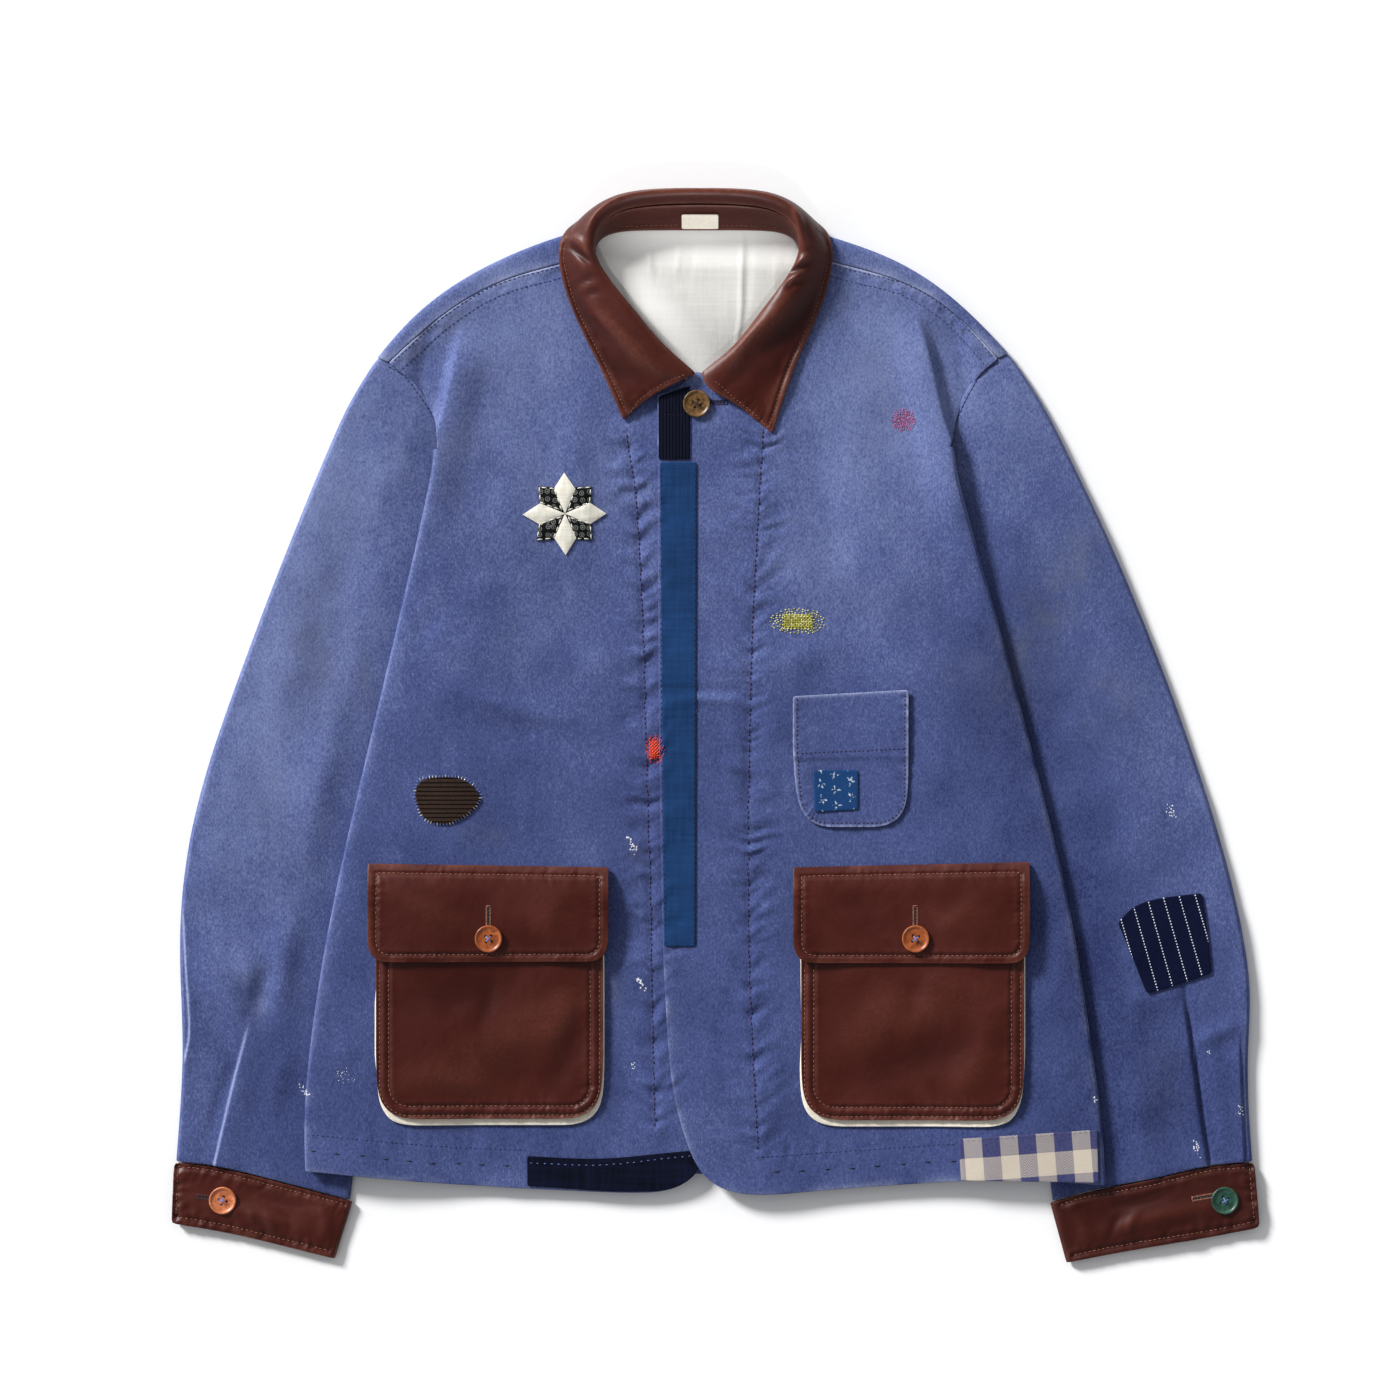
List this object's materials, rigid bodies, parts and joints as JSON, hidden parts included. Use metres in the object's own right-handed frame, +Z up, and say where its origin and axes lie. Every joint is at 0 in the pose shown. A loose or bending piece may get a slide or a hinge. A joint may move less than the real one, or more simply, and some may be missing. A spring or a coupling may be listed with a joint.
{
  "type": "patched jacket",
  "caption": "Flat-laid blue work jacket with brown leather collar, cuffs and flap pockets, mended with cloth strips, a quilt star and odd patches.",
  "frame": {"origin": "centre of the bounding box, on the surface the jacket lies on", "axes": "+Z up from the surface, +Y towards the collar, +X towards the wearer's left sleeve"},
  "size_m": [0.804, 0.793, 0.0313],
  "materials": {
    "moleskin": "faded cotton moleskin, brushed and matt",
    "brown_leather": "smooth tanned leather, satin",
    "linen": "washed linen, matt",
    "canvas": "cream cotton canvas, matt",
    "label_tape": "woven tape, bare",
    "corduroy": "needlecord, matt",
    "teal_cotton": "plain-weave cotton, matt",
    "navy_binding": "indigo cotton, matt",
    "check_flannel": "brushed check flannel, matt",
    "star_cotton": "printed and plain quilting cotton, matt",
    "tweed": "checked wool tweed, matt",
    "pinstripe_cotton": "striped indigo cotton, matt",
    "floral_cotton": "printed cotton, matt",
    "horn": "polished horn",
    "tan_button": "polished casein",
    "green_button": "polished casein"
  },
  "bodies": {
    "root": {"back": "moleskin", "neck_lining": "linen", "front_right": "moleskin", "front_left": "moleskin", "sleeve_right": "moleskin", "cuff_right": "brown_leather", "sleeve_left": "moleskin", "cuff_left": "brown_leather", "collar_stand": "brown_leather", "collar_fall": "brown_leather", "neck_label": "label_tape", "pocket_backing_right": "canvas", "pocket_bag_right": "brown_leather", "pocket_flap_right": "brown_leather", "pocket_backing_left": "canvas", "pocket_bag_left": "brown_leather", "pocket_flap_left": "brown_leather", "breast_pocket": "moleskin", "teal_strip": "teal_cotton", "corduroy_strip": "corduroy", "hem_binding": "navy_binding", "check_patch": "check_flannel", "star_patch": "star_cotton", "tweed_patch": "tweed", "pinstripe_patch": "pinstripe_cotton", "floral_patch": "floral_cotton", "button_neck": "horn", "button_pocket_right": "tan_button", "button_pocket_left": "tan_button", "button_cuff_right": "tan_button", "button_cuff_left": "green_button"}
  },
  "joints": []
}
